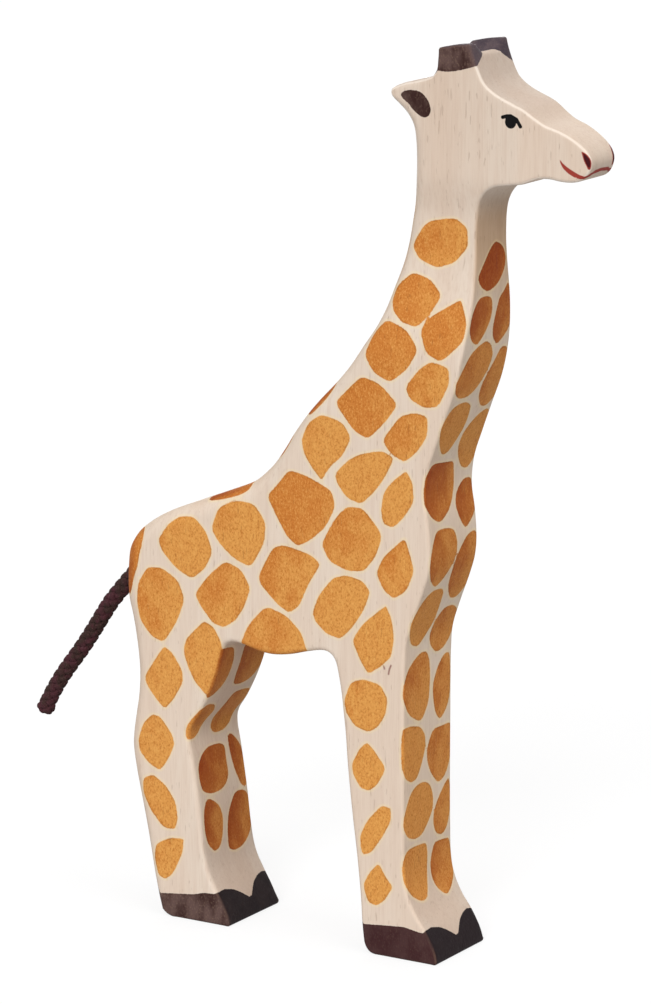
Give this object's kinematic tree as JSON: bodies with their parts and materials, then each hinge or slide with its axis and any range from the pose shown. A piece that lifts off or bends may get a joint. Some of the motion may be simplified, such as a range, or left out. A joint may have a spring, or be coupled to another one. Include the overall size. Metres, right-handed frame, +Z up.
{
  "type": "toy giraffe",
  "caption": "Standing wooden toy giraffe sawn from one board, with stained coat patches, dark hooves and a springy braided cord tail.",
  "frame": {"origin": "centre of the wooden figure's footprint box, on the soles", "axes": "+X towards the nose, +Y towards the left flank, +Z up through the neck"},
  "size_m": [0.1876, 0.027, 0.2599],
  "materials": {
    "pale_wood": "sanded pale maple with matt stain patches and dark painted hooves and horns",
    "cured_glue": "cured wood glue, hidden in the tail hole",
    "dark_cord": "braided dark brown cord, matt"
  },
  "bodies": {
    "figure": {"wooden_figure": "pale_wood", "tail_glue": "cured_glue", "tail_cord_glued_end": "dark_cord"},
    "tail_root": {"tail_cord_root": "dark_cord"},
    "tail": {"tail_cord": "dark_cord"}
  },
  "joints": [
    {"name": "tail_side_swing", "type": "hinge", "parent": "figure", "child": "tail_root", "pos_m": [-0.07553, 0, 0.09958], "axis": [-0.4405, 0, 0.8978], "range_deg": [-25, 25], "stiffness_Nm_per_rad": 0.01},
    {"name": "tail_lift", "type": "hinge", "parent": "tail_root", "child": "tail", "pos_m": [-0.08005, 0, 0.09569], "axis": [0, 1, 0], "range_deg": [-20, 45], "stiffness_Nm_per_rad": 0.01}
  ]
}
